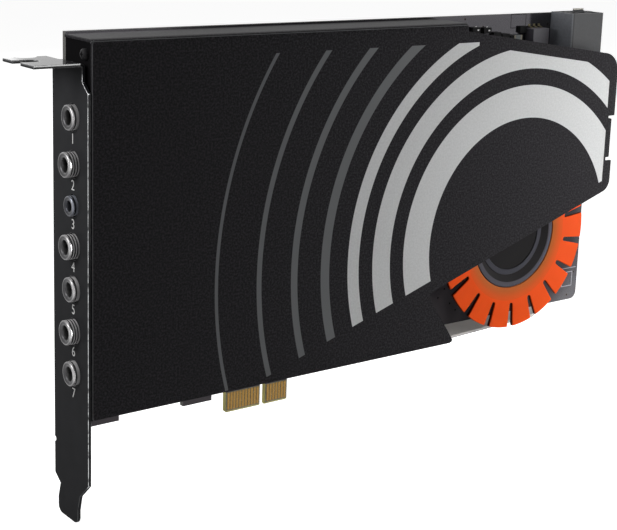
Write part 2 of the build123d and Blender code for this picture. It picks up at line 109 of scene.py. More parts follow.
class CardSizes(bpy.types.PropertyGroup):
    """Sizes of the fine pieces and of the finishes' detail."""

    sheet_round: bpy.props.FloatProperty(
        name="Sheet edge", description="Rounding along the cut edges of bracket and cover",
        default=0.00014, unit="LENGTH")
    plastic_round: bpy.props.FloatProperty(
        name="Moulded edge", description="Rounding along the edges of moulded pieces",
        default=0.0002, unit="LENGTH")
    coat_grain: bpy.props.FloatProperty(
        name="Coat grain", description="Distance between the grains of the cover's coat",
        default=0.00055, unit="LENGTH")
    number_height: bpy.props.FloatProperty(
        name="Number height", description="Height of the numbers under the sockets",
        default=0.0026, unit="LENGTH")
    screw_head: bpy.props.FloatProperty(
        name="Screw head", description="Radius of the screws' heads",
        default=0.0022, unit="LENGTH")
    ledge_tip: bpy.props.FloatProperty(
        name="Ledge tip", description="How far the tip of the cover's ledge is drawn out",
        default=0.0089, unit="LENGTH")
    arc_margin: bpy.props.FloatProperty(
        name="Arc margin", description="Bare coat between the painted arcs and the plate's edge",
        default=0.0036, unit="LENGTH")


class CardColours(bpy.types.PropertyGroup):
    """Colours of the finishes, in linear light."""

    coat_black: bpy.props.FloatVectorProperty(
        name="Black coat", description="The cover's textured coat",
        default=(0.029, 0.0278, 0.030), subtype="COLOR")
    zinc: bpy.props.FloatVectorProperty(
        name="Zinc", description="The cover's bare ledge",
        default=(0.52, 0.50, 0.48), subtype="COLOR")
    bracket_black: bpy.props.FloatVectorProperty(
        name="Bracket black", description="The bracket's satin coat",
        default=(0.031, 0.0314, 0.0335), subtype="COLOR")
    worn_steel: bpy.props.FloatVectorProperty(
        name="Worn steel", description="Sheet edges where the coat has rubbed off",
        default=(0.55, 0.56, 0.57), subtype="COLOR")
    paint_silver: bpy.props.FloatVectorProperty(
        name="Silver paint", description="The wide painted arcs",
        default=(0.50, 0.505, 0.505), subtype="COLOR")
    paint_grey: bpy.props.FloatVectorProperty(
        name="Grey paint", description="The narrow painted arcs",
        default=(0.150, 0.154, 0.157), subtype="COLOR")
    disc_orange: bpy.props.FloatVectorProperty(
        name="Disc orange", description="The light disc",
        default=(0.75, 0.076, 0.008), subtype="COLOR")
    disc_brown: bpy.props.FloatVectorProperty(
        name="Disc brown", description="The disc's dished inner edge",
        default=(0.40, 0.10, 0.020), subtype="COLOR")
    board_black: bpy.props.FloatVectorProperty(
        name="Board black", description="The board's lacquer",
        default=(0.010, 0.010, 0.012), subtype="COLOR")
    laminate: bpy.props.FloatVectorProperty(
        name="Laminate", description="Bare laminate round the contacts",
        default=(0.60, 0.54, 0.14), subtype="COLOR")
    gold: bpy.props.FloatVectorProperty(
        name="Gold", description="Plated contacts",
        default=(0.24, 0.142, 0.041), subtype="COLOR")
    chrome: bpy.props.FloatVectorProperty(
        name="Chrome", description="The sockets' sleeves",
        default=(0.93, 0.915, 0.92), subtype="COLOR")
    tin: bpy.props.FloatVectorProperty(
        name="Tin", description="Leads, solder and plated ends",
        default=(0.48, 0.48, 0.47), subtype="COLOR")
    inlet_grey: bpy.props.FloatVectorProperty(
        name="Inlet", description="The power inlet's grained plastic",
        default=(0.011, 0.0115, 0.013), subtype="COLOR")
    chip_black: bpy.props.FloatVectorProperty(
        name="Package black", description="Moulded packages",
        default=(0.017, 0.017, 0.018), subtype="COLOR")


class CardStage(bpy.types.PropertyGroup):
    """The camera, the room's light and the floor."""

    camera_place: bpy.props.FloatVectorProperty(
        name="Camera", description="Where the camera stands",
        default=(-0.158, -0.3113, 0.0448), subtype="TRANSLATION", unit="LENGTH")
    camera_turn: bpy.props.FloatProperty(
        name="Turn", description="How far the camera turns from +Y towards +X",
        default=math.radians(37.19), subtype="ANGLE")
    camera_pitch: bpy.props.FloatProperty(
        name="Pitch", description="How far the camera looks down",
        default=math.radians(12.53), subtype="ANGLE")
    camera_roll: bpy.props.FloatProperty(
        name="Roll", description="The camera's turn about its own line of sight",
        default=math.radians(1.85), subtype="ANGLE")
    camera_lens: bpy.props.FloatProperty(
        name="Lens", description="Focal length on a 36 mm sensor", default=84.02, unit="CAMERA")
    camera_shift: bpy.props.FloatProperty(
        name="Shift", description="Upward shift of the picture", default=-0.10)
    sky: bpy.props.FloatProperty(
        name="Room light", description="Strength of the light from all round", default=0.08)
    floor_drop: bpy.props.FloatProperty(
        name="Floor drop", description="Gap between the bracket's tongue and the floor",
        default=0.0004, unit="LENGTH")


class Field:
    """A value that changes over a surface: a node's output, with Python's own maths on it."""

    def __init__(self, nodes, socket):
        self.nodes = nodes
        self.socket = socket

    def maths(self, operation, first, second):
        return self.nodes.node("ShaderNodeMath", {"operation": operation}, {0: first, 1: second})

    def __add__(self, other):
        return self.maths("ADD", self, other)

    def __radd__(self, other):
        return self.maths("ADD", other, self)

    def __sub__(self, other):
        return self.maths("SUBTRACT", self, other)

    def __rsub__(self, other):
        return self.maths("SUBTRACT", other, self)

    def __mul__(self, other):
        return self.maths("MULTIPLY", self, other)

    def __rmul__(self, other):
        return self.maths("MULTIPLY", other, self)

    def __abs__(self):
        return self.maths("ABSOLUTE", self, 0.0)

    def least(self, other):
        return self.maths("MINIMUM", self, other)

    def most(self, other):
        return self.maths("MAXIMUM", self, other)

    def root(self):
        return self.maths("SQRT", self, 0.0)

    def above(self, level):
        return self.maths("GREATER_THAN", self, level)

    def rounded_to(self, step):
        return self.maths("SNAP", self, step)

    def wrapped(self, step):
        """The remainder in each stretch of that length, from 0 to the step."""
        return self.maths("FLOORED_MODULO", self, step)

    def spread(self, low, high):
        """0 at low and below, 1 at high and above, and smooth between."""
        return self.nodes.node(
            "ShaderNodeMapRange", {"interpolation_type": "SMOOTHSTEP"},
            {"Value": self, "From Min": low, "From Max": high})

    def edge(self):
        """A mask that is 1 where a distance in millimetres is positive, with a crisp edge."""
        return self.spread(-0.05, 0.05)

    def output(self, name):
        return Field(self.nodes, self.socket.node.outputs[name])


class Nodes:
    """A node tree in the making."""

    def __init__(self, tree):
        self.tree = tree

    def node(self, kind, settings, sockets, output=0):
        """Adds a node: its settings first, then the values or links of its sockets."""
        made = self.tree.nodes.new(kind)
        for key, value in settings.items():
            setattr(made, key, value)
        for key, value in sockets.items():
            self.feed(made.inputs[key], value)
        return Field(self, made.outputs[output])

    def feed(self, socket, value):
        if isinstance(value, Field):
            self.tree.links.new(value.socket, socket)
        elif socket.type == "RGBA":
            socket.default_value = (*value[:3], 1.0)
        else:
            socket.default_value = value

    def seen(self):
        """1 for what the camera sees, straight or in a mirror or glass."""
        straight = self.node("ShaderNodeLightPath", {}, {}, "Is Camera Ray")
        return straight.most(straight.output("Is Glossy Ray")).most(straight.output("Is Transmission Ray"))


class Finish(Nodes):
    """A material in the making, with the fields that its nodes read."""

    def __init__(self, name, settings):
        self.material = bpy.data.materials.new(name)
        self.material.use_nodes = True
        super().__init__(self.material.node_tree)
        self.shader = self.tree.nodes["Principled BSDF"]
        for socket, value in settings.items():
            self.set(socket, value)

    def set(self, socket, value):
        self.feed(self.shader.inputs[socket], value)

    def place(self):
        """Where a point of the surface is, in millimetres: the vector."""
        spot = self.node("ShaderNodeTexCoord", {}, {}, "Object")
        return self.node("ShaderNodeVectorMath", {"operation": "SCALE"}, {0: spot, "Scale": 1 / MM})

    def axes(self, spot):
        """The vector's parts: along the card, its depth and up."""
        along = self.node("ShaderNodeSeparateXYZ", {}, {0: spot}, "X")
        return along, along.output("Y"), along.output("Z")

    def noise(self, spot, size, detail=2.0):
        """Soft noise from 0 to 1 with features of that size in millimetres."""
        return self.node(
            "ShaderNodeTexNoise", {}, {"Vector": spot, "Scale": 1 / size, "Detail": detail})

    def speckle(self, spot):
        """A chance value from 0 to 1 at each point of the vector."""
        return self.node("ShaderNodeTexWhiteNoise", {"noise_dimensions": "3D"}, {"Vector": spot})

    def stored(self, name):
        """A value that the piece's faces carry."""
        return self.node("ShaderNodeAttribute", {"attribute_name": name}, {}, "Fac")

    def mix(self, mask, first, second):
        """The first colour where the mask is 0 and the second where it is 1."""
        return self.node("ShaderNodeMix", {"data_type": "RGBA"}, {0: mask, 6: first, 7: second}, 2)

    def bump(self, height, depth, strength):
        """Relief of that depth in millimetres on the surface."""
        relief = self.node(
            "ShaderNodeBump", {}, {"Strength": strength, "Distance": depth * MM, "Height": height})
        self.set("Normal", relief)


def side_of(along, up, start, end):
    """How far a point lies to the left of the line from start to end, in millimetres."""
    run, rise = end[0] - start[0], end[1] - start[1]
    length = math.hypot(run, rise)
    return (along - start[0]) * (-rise / length) + (up - start[1]) * (run / length)


def distance_to(first, second, centre):
    """How far a point is from a centre in a plane of two fields."""
    across, rise = first - centre[0], second - centre[1]
    return (across * across + rise * rise).root()


def frame_line(along, up, low, high, line):
    """Positive inside a rectangular line drawn between two corners."""
    middle = ((low[0] + high[0]) / 2, (low[1] + high[1]) / 2)
    wide = abs(along - middle[0]) - (high[0] - low[0]) / 2
    tall = abs(up - middle[1]) - (high[1] - low[1]) / 2
    return line / 2 - abs(wide.most(tall))


def shaded(colour, share):
    return [share * part for part in colour]


def cover_finish(colours, sizes):
    """Textured black coat with arcs of silver and grey paint round the light disc, and a bare ledge."""
    finish = Finish("cover_coat", {"Specular IOR Level": 0.0, "Coat Roughness": 0.33})
    spot = finish.place()
    along, depth, up = finish.axes(spot)
    from_end, behind_face, below_flange = along - cover_low.x, depth - cover_low.y, cover_high.z - up
    face_depth = 0.3
    grain = finish.noise(spot, sizes.coat_grain / MM, 3.0)
    cloud = finish.noise(spot, 9.0)

    # The slanting top edge bounds the paint from a little past the shoulder, and the fold has none.
    past_shoulder, fold_width = 8.0, 2.0
    below_top = side_of(along, up, nose_top, shoulder).most(shoulder[0] + past_shoulder - along)
    above_low = side_of(along, up, throat, nose_bottom)
    margin = (below_flange - fold_width).least(below_top).least(nose_top[0] - along).least(above_low)
    inside = (margin - sizes.arc_margin / MM).least(face_depth - behind_face)
    reach = distance_to(along, up, disc_middle)

    def painted(arcs):
        """1 on the arcs, where they lie on the plate's face and inside its margin."""
        bands = [(reach - inner).least(outer - reach) for inner, outer in arcs]
        joined = bands[0]
        for band in bands[1:]:
            joined = joined.most(band)
        return joined.least(inside).edge()

    def fold_line(first, second):
        """1 in a narrow line along the fold between two faces, by the distances from them, where a highlight
        is painted.
        """
        half, radius = 0.16, 1.0
        return (half - abs(first - second)).least(radius - first).least(radius - second).edge()

    silver, grey = painted(silver_arcs), painted(grey_arcs)
    coat = finish.mix(
        grain.spread(0.35, 0.75), shaded(colours.coat_black, 0.72), shaded(colours.coat_black, 1.5))
    paint = finish.mix(grain.spread(0.3, 0.7), colours.paint_silver, shaded(colours.paint_silver, 1.12))
    base = finish.mix(silver, finish.mix(grey, coat, colours.paint_grey), paint)

    # Painted shade darkens the lug at the bracket's end; painted highlights lie along the folds, and the cut
    # edges' coat is worn here and there.
    lug_depth, bend, highlight_and_wear_tone = 1.2, 0.8, (0.20, 0.205, 0.21)
    lug_shade = (lug_depth - from_end).least(behind_face - bend).least(below_flange - bend).edge()
    base = finish.mix(lug_shade, base, shaded(colours.coat_black, 0.25))
    highlight_and_wear = (fold_line(behind_face, below_flange) * 0.55).most(fold_line(behind_face, from_end) * 0.4)
    highlight_and_wear = highlight_and_wear.most(finish.stored("worn") * cloud.spread(0.45, 0.65) * 0.4)
    base = finish.mix(highlight_and_wear, base, highlight_and_wear_tone)

    # The ledge is bare behind the plate's toe, apart from its underside.
    bare_from, bare_to, past_throat, toe_depth = 0.1, 0.9, 0.8, 2.0
    from_foot = up - cover_low.z
    bare = (from_foot - bare_from).least(bare_to - from_foot).least(along - throat[0] - past_throat)
    bare = bare.least(behind_face - toe_depth).edge()
    base = finish.mix(bare, base, finish.mix(cloud, colours.zinc, shaded(colours.zinc, 0.8)))
    finish.set("Base Color", base)
    finish.set("Roughness", 0.52 - silver.most(grey) * 0.08 + cloud * 0.06)
    finish.set("Metallic", bare * 0.15)
    finish.set("Coat Weight", (face_depth - below_flange).edge() * 0.28)
    finish.bump(grain, 0.03, 0.55)
    return finish.material


def bracket_finish(colours):
    """Satin black coat, shinier on top of the tab and rubbed to bare steel along the edges."""
    finish = Finish("bracket_coat", {"Specular IOR Level": 0.0, "Coat Roughness": 0.12, "Coat IOR": 1.6})
    spot = finish.place()
    along, depth, up = finish.axes(spot)
    cloud = finish.noise(spot, 6.0)

    # Most of the rubbing is on the outer face's front edge, in a band that is wider at the neck.
    edge_band, neck_band, neck_drop, face_depth = 0.6, 3.6, 8.2, 0.4
    tab_middle, tab_underside = 0.5, -0.9
    from_front = depth - bracket_low.y
    near_edge = (edge_band - from_front).most((up + neck_drop).least(neck_band - from_front))
    near_edge = near_edge.least(bracket_face + face_depth - along).least(tab_underside - up).edge()
    rubbed = finish.stored("worn") * finish.noise(spot, 1.6).spread(0.25, 0.55) * (0.2 + near_edge * 0.8)
    coat = finish.mix(cloud, shaded(colours.bracket_black, 0.85), shaded(colours.bracket_black, 1.15))
    finish.set("Base Color", finish.mix(rubbed, coat, colours.worn_steel))
    finish.set("Metallic", rubbed)
    finish.set("Roughness", 0.42 + cloud * 0.10 - rubbed * 0.2)
    finish.set("Coat Weight", 0.03 + (up - tab_middle).edge() * 0.77)
    finish.bump(finish.noise(spot, 0.8), 0.01, 0.3)
    return finish.material


def board_finish(colours):
    """Glossy black lacquer over copper tracks, with plated holes, print lines and a bare contact edge."""
    finish = Finish("board_lacquer", {"Specular IOR Level": 0.95, "Specular Tint": (0.96, 0.92, 1.0)})
    spot = finish.place()
    along, depth, up = finish.axes(spot)
    on_front = (board_low.y + board_high.y) / 2 - depth

    # The board's cut rim, and its bare contact edge with a bevel below.
    skin, bevel_height = 0.06, 0.62
    bare_from, bare_to, bare_top = 57.0, 78.5, -96.0
    rim = ((board_high.y - board_low.y) / 2 - skin - abs(on_front)).edge()
    bare_zone = (along - bare_from).least(bare_to - along).least(bare_top - up).edge()
    bevel = (board_low.z + bevel_height - up).edge()

    def runs(across, pitch):
        """1 on parallel copper tracks at that pitch."""
        half = 0.16
        return (half - abs(across.wrapped(pitch) - pitch / 2)).edge()

    patch = finish.noise(spot, 14.0, 0.0)
    tracks = (
        runs(up, 0.9) * patch.above(0.58)
        + runs(along, 0.9) * (0.40 - patch).above(0.0)
        + runs(along + up, 1.3) * patch.above(0.51) * (0.55 - patch).above(0.0)
    )

    # Plated holes in some cells of a grid.
    pitch, ring_reach, hole_reach, drilled_above = 2.54, 0.48, 0.3, 0.86
    cell = finish.node(
        "ShaderNodeCombineXYZ", {}, {"X": along.rounded_to(pitch), "Y": 0.0, "Z": up.rounded_to(pitch)})
    from_hole = distance_to(along.wrapped(pitch), up.wrapped(pitch), (pitch / 2, pitch / 2))
    drilled = finish.speckle(cell).above(drilled_above)
    ring = (ring_reach - from_hole).edge() * drilled
    hole = (hole_reach - from_hole).edge() * drilled

    # A dark outline round the transistor's place, and a pale box and line in the lower corner.
    low, high = box_mm("transistor")
    outline = frame_line(along, up, (low.x - 3.2, low.z + 1.6), (high.x + 0.4, high.z + 3.6), 0.2)
    dark = outline.least(on_front).edge().most(hole)
    corner = board_high.x
    box_line = frame_line(along, up, (corner - 7.1, -84.5), (corner - 2.4, -79.7), 0.25)
    line_height, line_half, line_start, line_end = -78.3, 0.12, corner - 13.0, corner - 0.8
    line = (line_half - abs(up - line_height)).least(along - line_start).least(line_end - along)
    print_mask = box_line.most(line).least(on_front).edge()

    # A painted shadow: the lacquer turns to dull dark metal in a round patch behind the disc, and low down to
    # the left of the disc's middle.
    shadow_centre, shadow_reach, shadow_top = (disc_centre.x + 13.2, disc_centre.z - 4.4), 30.0, -45.0
    in_shadow = shadow_reach - distance_to(along, up, shadow_centre)
    shadow_matte = in_shadow.most((disc_centre.x - along).least(shadow_top - up)).spread(-6.0, 4.0)
    shadow_matte = shadow_matte * on_front.edge() * (1.0 - rim.most(bare_zone))

    lacquer = finish.mix(tracks, colours.board_black, shaded(colours.board_black, 1.5))
    lacquer = finish.mix(ring, lacquer, shaded(colours.gold, 0.16))
    shadow_tone, dark_tone, print_tone = (0.046, 0.042, 0.045), (0.004, 0.004, 0.004), (0.30, 0.30, 0.33)
    for mask, tone in ((shadow_matte, shadow_tone), (dark, dark_tone), (print_mask, print_tone)):
        lacquer = finish.mix(mask, lacquer, tone)
    rim_tone = (0.030, 0.030, 0.020)
    laminate = finish.mix(finish.noise(spot, 0.5), colours.laminate, shaded(colours.laminate, 0.75))
    between = finish.mix(rim.most(bevel), shaded(colours.laminate, 0.16), laminate)
    finish.set("Base Color", finish.mix(bare_zone, finish.mix(rim, lacquer, rim_tone), between))
    finish.set("Metallic", dark.most(shadow_matte))
    dull = rim.most(bare_zone).most(shadow_matte)
    finish.set("Roughness", 0.07 + dull * 0.65 + print_mask * 0.2 + patch * 0.04)
    finish.bump(tracks * 0.5 + ring * 0.6 - hole, 0.012, 0.35)
    return finish.material


def metal_finish(name, colour, roughness, grain_size, variation=0.12):
    """Bare or plated metal with fine streaks."""
    finish = Finish(name, {"Metallic": 1.0})
    grain = finish.noise(finish.place(), grain_size, 3.0)
    finish.set("Base Color", finish.mix(grain, shaded(colour, 1 - variation), colour))
    finish.set("Roughness", roughness + grain * 0.12)
    finish.bump(grain, 0.004, 0.25)
    return finish.material


def plastic_finish(name, colour, roughness, grain_size, relief=0.01, lighter=1.35, gloss=0.4):
    """Moulded plastic with the fine grain of its mould."""
    finish = Finish(name, {"Specular IOR Level": gloss})
    grain = finish.noise(finish.place(), grain_size, 3.0)
    finish.set("Base Color", finish.mix(grain, colour, shaded(colour, lighter)))
    finish.set("Roughness", roughness + grain * 0.12)
    finish.bump(grain, relief, 0.5)
    return finish.material


def inlet_finish(colours, side, key_highlight_from):
    """Grained black plastic, with painted light on the side towards the bracket and a painted highlight on
    top of the key.
    """
    finish = Finish("inlet_grained", {"Specular IOR Level": 0.66})
    spot = finish.place()
    along, up = finish.axes(spot)[::2]
    side_depth, side_light_tones = 0.3, ((0.11, 0.12, 0.135), (0.23, 0.24, 0.265))
    key_highlight_tone = (0.52, 0.50, 0.43)
    grain = finish.noise(spot, 0.5, 3.0)
    plastic = finish.mix(
        grain.spread(0.3, 0.7), shaded(colours.inlet_grey, 0.7), shaded(colours.inlet_grey, 1.5))
    # Painted light on the side towards the bracket.
    plastic = finish.mix((side + side_depth - along).edge(), plastic, finish.mix(grain, *side_light_tones))
    # A painted highlight on top of the key.
    finish.set("Base Color", finish.mix((up - key_highlight_from).edge(), plastic, key_highlight_tone))
    finish.set("Roughness", 0.45 + grain * 0.2)
    finish.bump(grain, 0.05, 0.6)
    return finish.material


def sleeve_finish(name, chrome):
    """Plated metal with satin rings, brighter lips and dark grooves: painted highlights on the rings and
    glints, painted shade in the grooves and the bore.
    """
    finish = Finish(name, {})
    polish = finish.stored("polish")
    grain = finish.noise(finish.place(), 0.6, 3.0)
    groove_shade_tone = (0.02, 0.02, 0.022)
    bright = finish.mix(grain, shaded(chrome, 0.85), chrome)
    finish.set("Base Color", finish.mix(polish, groove_shade_tone, bright))
    # Full metal would mirror the black bracket, so only the glints and the dark faces have it.
    finish.set("Metallic", 1.0 - polish.spread(0.3, 0.8) * 0.8 + polish.spread(0.90, 0.97) * 0.75)
    finish.set("Roughness", 0.38 - polish * 0.26 + grain * 0.08)
    finish.bump(grain, 0.004, 0.25)
    return finish.material


def disc_finish(colours):
    """Orange acrylic that turns brown down its dished inner edge as painted shade, with dark cut walls."""
    finish = Finish("disc_acrylic", {"Specular IOR Level": 0.02})
    spot = finish.place()
    along, depth, up = finish.axes(spot)
    reach = distance_to(along, up, disc_middle)
    cloud = finish.noise(spot, 5.0)
    dish_reach, dish_width, wall_reach, wall_depth = 20.8, 3.9, 21.2, 0.26
    wall_tone = (0.055, 0.010, 0.005)
    face = finish.mix(cloud, colours.disc_orange, shaded(colours.disc_orange, 0.9))
    dished = dish_reach - reach
    dish_shade = dished.edge() * 0.28 + dished.spread(0.0, dish_width) * 0.72
    face = finish.mix(dish_shade, face, colours.disc_brown)
    wall = (depth - disc_low.y - wall_depth).edge() * (reach - wall_reach).edge()
    finish.set("Base Color", finish.mix(wall, face, wall_tone))
    finish.set("Roughness", 0.36 + cloud * 0.12)
    finish.bump(finish.noise(spot, 0.7), 0.01, 0.3)
    return finish.material


def hub_finish(ring, floor):
    """Dark plastic whose turned rings differ in tone: its rim, its cone, a raised ring and its floor; the
    cone and the floor are painted darker as shade.
    """
    finish = Finish("hub_rings", {"Specular IOR Level": 0.04})
    spot = finish.place()
    along, up = finish.axes(spot)[::2]
    reach = distance_to(along, up, disc_middle)
    raised_width, lap, turning_pitch = 1.6, 0.05, 0.5
    cone_shade_tone, rim_tone = (0.020, 0.018, 0.019), (0.070, 0.066, 0.080)
    raised_tone, floor_tone = (0.046, 0.046, 0.057), (0.012, 0.011, 0.0115)
    rim = (reach - ring).edge()
    raised = (floor + lap - reach).edge() * (reach - floor + raised_width).edge()
    inner = (floor - raised_width - reach).edge()
    tone = finish.mix(rim, cone_shade_tone, rim_tone)
    tone = finish.mix(raised, tone, raised_tone)
    tone = finish.mix(inner, tone, floor_tone)
    turning = 0.5 - abs(reach.wrapped(turning_pitch) - turning_pitch / 2) * 2
    finish.set("Base Color", tone)
    finish.set("Roughness", 0.45 - rim * 0.1 + finish.noise(spot, 0.5) * 0.1)
    finish.bump(turning, 0.008, 0.15)
    return finish.material


def ceramic_finish(name, tones, tin, grain_size, ends):
    """Ceramic with plated ends; a function gives their mask from the finish and the place."""
    finish = Finish(name, {})
    spot = finish.place()
    end = ends(finish, spot)
    ceramic = finish.mix(finish.noise(spot, grain_size), *tones)
    finish.set("Base Color", finish.mix(end, ceramic, tin))
    finish.set("Metallic", end)
    finish.set("Roughness", 0.5 - end * 0.2)
    return finish.material


def dress(finish, *names):
    """Gives CAD nodes their finish."""
    for name in names:
        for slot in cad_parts[name].material_slots:
            slot.material = finish


def make_piece(name, shape, finish, slot, *stands_for):
    """Turns a bmesh in millimetres into a dressed piece of the object."""
    crease = math.radians(48)
    bmesh.ops.scale(shape, vec=(MM, MM, MM), verts=shape.verts)
    mesh = bpy.data.meshes.new(name)
    shape.to_mesh(mesh)
    shape.free()
    mesh.materials.append(finish)
    mesh.shade_smooth()
    mesh.set_sharp_from_angle(angle=crease)
    piece = bpy.data.objects.new(name, mesh)
    bpy.context.scene.collection.objects.link(piece)
    even = piece.modifiers.new("even shading", "WEIGHTED_NORMAL")
    even.keep_sharp = True
    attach(piece, "root")
    if stands_for:
        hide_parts(*stands_for)


def softened(node, rounding):
    """A CAD node's shape with its sharp edges rounded; their faces carry a value of 1 as worn."""
    flat, sharp = math.radians(0.6), math.radians(35)
    shape = bmesh.new()
    shape.from_mesh(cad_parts[node].data)
    bmesh.ops.scale(shape, vec=(1 / MM, 1 / MM, 1 / MM), verts=shape.verts)
    bmesh.ops.remove_doubles(shape, verts=shape.verts, dist=0.001)
    bmesh.ops.dissolve_limit(shape, angle_limit=flat, verts=shape.verts, edges=shape.edges)
    cut = [edge for edge in shape.edges if edge.is_manifold and edge.calc_face_angle() > sharp]
    worn = shape.faces.layers.float.new("worn")
    rounded = bmesh.ops.bevel(
        shape, geom=cut, offset=rounding / MM, offset_type="OFFSET", affect="EDGES",
        segments=2, profile=0.5, material=-1, clamp_overlap=True)
    for face in rounded["faces"]:
        face[worn] = 1.0
    return shape


def turned(profile, centre, axis, steps):
    """A profile spun fully round an axis; its points are given as places."""
    shape = bmesh.new()
    points = [shape.verts.new(point) for point in profile]
    lines = [shape.edges.new(pair) for pair in zip(points, points[1:])]
    bmesh.ops.spin(
        shape, geom=points + lines, cent=centre, axis=axis, angle=math.tau, steps=steps, use_merge=True)
    bmesh.ops.remove_doubles(shape, verts=shape.verts, dist=0.0005)
    bmesh.ops.recalc_face_normals(shape, faces=shape.faces)
    return shape


def repeated(pattern, places):
    """One bmesh with the pattern at each of the places, which are matrices."""
    source = bpy.data.meshes.new("pattern")
    pattern.to_mesh(source)
    pattern.free()
    joined = bmesh.new()
    for place in places:
        add_mesh(joined, source, place)
    bpy.data.meshes.remove(source)
    return joined


def add_mesh(shape, mesh, place):
    """Moves a mesh into a bmesh at a place, which is a matrix."""
    start = len(shape.verts)
    shape.from_mesh(mesh)
    shape.verts.ensure_lookup_table()
    bmesh.ops.transform(shape, matrix=place, verts=shape.verts[start:])


def standing(outward, right, place):
    """A matrix that stands a pattern's +Z along outward and its +X along right."""
    turn = Matrix((right, outward.cross(right), outward)).transposed().to_4x4()
    return Matrix.Translation(place) @ turn


def lead_shape(width, height):
    """A flat lead that leaves a package at +X, bends down and lies on the board."""
    thickness = 0.14
    path = [(-0.15, height), (0.3, height), (0.55, 0.09), (1.15, 0.09)]
    shape = bmesh.new()
    points = [shape.verts.new((out, -width / 2, rise)) for out, rise in path]
    lines = [shape.edges.new(pair) for pair in zip(points, points[1:])]
    strip = bmesh.ops.extrude_edge_only(shape, edges=lines)
    moved = [part for part in strip["geom"] if isinstance(part, bmesh.types.BMVert)]
    bmesh.ops.translate(shape, vec=(0, width, 0), verts=moved)
    bmesh.ops.recalc_face_normals(shape, faces=shape.faces)
    bmesh.ops.solidify(shape, geom=shape.faces[:], thickness=thickness)
    bmesh.ops.recalc_face_normals(shape, faces=shape.faces)
    return shape


class SOUND_CARD_OT_cover(bpy.types.Operator):
    """Makes the folded cover with rounded edges and its coat"""

    bl_idname = "sound_card.cover"
    bl_label = "Cover"

    # The ledge's end: how much of it is the tip, how far its corner reaches and moves, and the tip's slant.
    tip_length, corner_length, corner_move = 0.7, 2.5, (2.8, 0.6, 0)
    tip_width, tip_slant = 3.0, 3.2
    # The ledge's back edge, this deep, moves under the board beyond a place between two cuts across it.
    back_depth, tuck_cuts, tuck_from, tuck = 0.3, (132.4, 133.2), 133.0, 0.8

    def execute(self, context):
        sizes, colours = context.scene.card_sizes, context.scene.card_colours
        shape = softened("cover", sizes.sheet_round)
        self.draw_out_tip(shape, sizes.ledge_tip / MM)
        self.tuck_back(shape)
        make_piece("cover_shell", shape, cover_finish(colours, sizes), "black_cover", "cover")
        return {"FINISHED"}

    def draw_out_tip(self, shape, reach):
        """Draws the end of the ledge under the disc out to a slanting tip."""
        ledge = [vert for vert in shape.verts if vert.co.z < ledge_top]
        end = max(vert.co.x for vert in ledge)
        tip = [vert for vert in ledge if vert.co.x > end - self.tip_length]
        corner = [vert for vert in ledge if end - self.corner_length < vert.co.x < end - self.tip_length]
        bmesh.ops.translate(shape, vec=(reach, 0, 0), verts=tip)
        bmesh.ops.translate(shape, vec=self.corner_move, verts=corner)
        front = [vert for vert in tip if vert.co.y < cover_high.y - self.tip_width]
        bmesh.ops.translate(shape, vec=(0, self.tip_slant, 0), verts=front)

    def tuck_back(self, shape):
        """Moves the back edge of the ledge under the board."""
        for cut in self.tuck_cuts:
            sheet = [face for face in shape.faces if max(vert.co.z for vert in face.verts) < ledge_top]
            lines = {line for face in sheet for line in face.edges}
            corners = {vert for face in sheet for vert in face.verts}
            bmesh.ops.bisect_plane(
                shape, geom=[*sheet, *lines, *corners], plane_co=(cut, 0, 0), plane_no=RIGHT)
        back_edge = cover_high.y - self.back_depth
        tucked = [
            vert for vert in shape.verts
            if vert.co.z < ledge_top and vert.co.x > self.tuck_from and vert.co.y > back_edge
        ]
        bmesh.ops.translate(shape, vec=(0, self.tuck, 0), verts=tucked)


class SOUND_CARD_OT_bracket(bpy.types.Operator):
    """Makes the bracket with rounded edges and its satin coat"""

    bl_idname = "sound_card.bracket"
    bl_label = "Bracket"

    def execute(self, context):
        sizes, colours = context.scene.card_sizes, context.scene.card_colours
        sheet = softened("bracket", sizes.sheet_round)
        make_piece("bracket_sheet", sheet, bracket_finish(colours), "black_bracket", "bracket")
        return {"FINISHED"}


